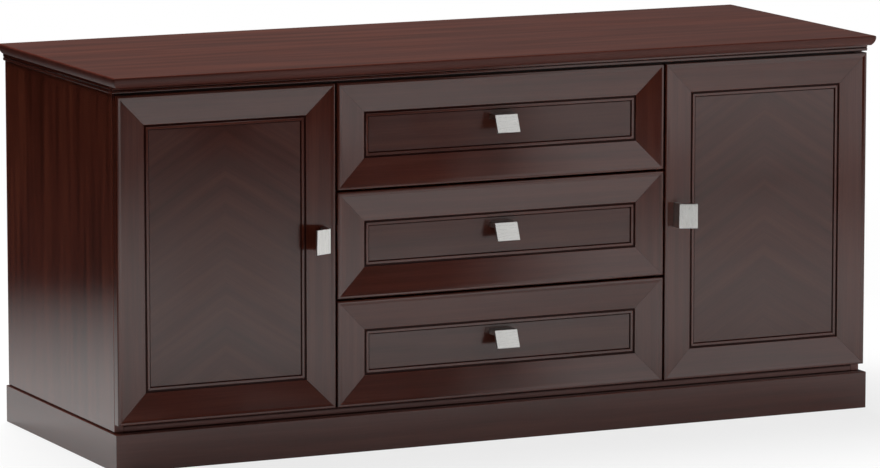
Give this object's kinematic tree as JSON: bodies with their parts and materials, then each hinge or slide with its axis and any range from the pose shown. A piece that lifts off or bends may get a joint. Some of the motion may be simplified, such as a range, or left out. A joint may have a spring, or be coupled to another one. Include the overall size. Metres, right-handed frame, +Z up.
{
  "type": "office credenza",
  "caption": "Low office credenza in dark lacquered wood: framed cupboard doors beside a bank of framed drawers, on a plinth under an overhanging top, with metal tab pulls.",
  "frame": {"origin": "on the floor, at the centre of the object's box seen from above", "axes": "+X to the right along the width as seen from the front, +Y from the fronts to the back, +Z up"},
  "size_m": [1.622, 0.631, 0.75],
  "materials": {
    "lacquer": "dark mahogany, satin lacquer",
    "veneer": "dark mahogany veneer, satin lacquer",
    "carcass_board": "brown melamine board, matt",
    "back_board": "brown faced hardboard, matt",
    "beech": "beech, clear lacquer",
    "beech_ply": "thin plywood, clear lacquer",
    "nickel": "satin nickel plate",
    "hinge_steel": "nickel-plated pressed steel"
  },
  "bodies": {
    "carcass": {"back_panel": "back_board", "bottom_panel": "carcass_board", "carcass_top": "carcass_board", "hinge_arm_left_lower": "hinge_steel", "hinge_arm_left_upper": "hinge_steel", "hinge_arm_right_lower": "hinge_steel", "hinge_arm_right_upper": "hinge_steel", "moulding_front": "lacquer", "moulding_left": "lacquer", "moulding_right": "lacquer", "partition_left": "carcass_board", "partition_right": "carcass_board", "plinth_back": "lacquer", "plinth_front": "lacquer", "plinth_left": "lacquer", "plinth_right": "lacquer", "runner_1_left": "beech", "runner_1_right": "beech", "runner_2_left": "beech", "runner_2_right": "beech", "runner_3_left": "beech", "runner_3_right": "beech", "shelf_left": "carcass_board", "shelf_right": "carcass_board", "side_panel_left": "lacquer", "side_panel_right": "lacquer", "top_panel": "lacquer"},
    "left_door": {"left_door_bottom_rail": "lacquer", "left_door_hinge_cup_lower": "hinge_steel", "left_door_hinge_cup_upper": "hinge_steel", "left_door_hinge_stile": "lacquer", "left_door_meeting_stile": "lacquer", "left_door_panel": "veneer", "left_door_pull": "nickel", "left_door_top_rail": "lacquer"},
    "right_door": {"right_door_bottom_rail": "lacquer", "right_door_hinge_cup_lower": "hinge_steel", "right_door_hinge_cup_upper": "hinge_steel", "right_door_hinge_stile": "lacquer", "right_door_meeting_stile": "lacquer", "right_door_panel": "veneer", "right_door_pull": "nickel", "right_door_top_rail": "lacquer"},
    "drawer_1": {"drawer_1_bottom": "beech_ply", "drawer_1_box": "beech", "drawer_1_frame": "lacquer", "drawer_1_panel": "veneer", "drawer_1_pull": "nickel"},
    "drawer_2": {"drawer_2_bottom": "beech_ply", "drawer_2_box": "beech", "drawer_2_frame": "lacquer", "drawer_2_panel": "veneer", "drawer_2_pull": "nickel"},
    "drawer_3": {"drawer_3_bottom": "beech_ply", "drawer_3_box": "beech", "drawer_3_frame": "lacquer", "drawer_3_panel": "veneer", "drawer_3_pull": "nickel"}
  },
  "joints": [
    {"name": "left_door_hinge", "type": "hinge", "parent": "carcass", "child": "left_door", "pos_m": [-0.8, -0.26031, 0.402], "axis": [0, 0, -1], "range_deg": [0, 110]},
    {"name": "right_door_hinge", "type": "hinge", "parent": "carcass", "child": "right_door", "pos_m": [0.8, -0.26031, 0.402], "axis": [0, 0, 1], "range_deg": [0, 110]},
    {"name": "drawer_1_slide", "type": "slide", "parent": "carcass", "child": "drawer_1", "axis": [0, -1, 0], "range_m": [0, 0.375]},
    {"name": "drawer_2_slide", "type": "slide", "parent": "carcass", "child": "drawer_2", "axis": [0, -1, 0], "range_m": [0, 0.375]},
    {"name": "drawer_3_slide", "type": "slide", "parent": "carcass", "child": "drawer_3", "axis": [0, -1, 0], "range_m": [0, 0.375]}
  ]
}
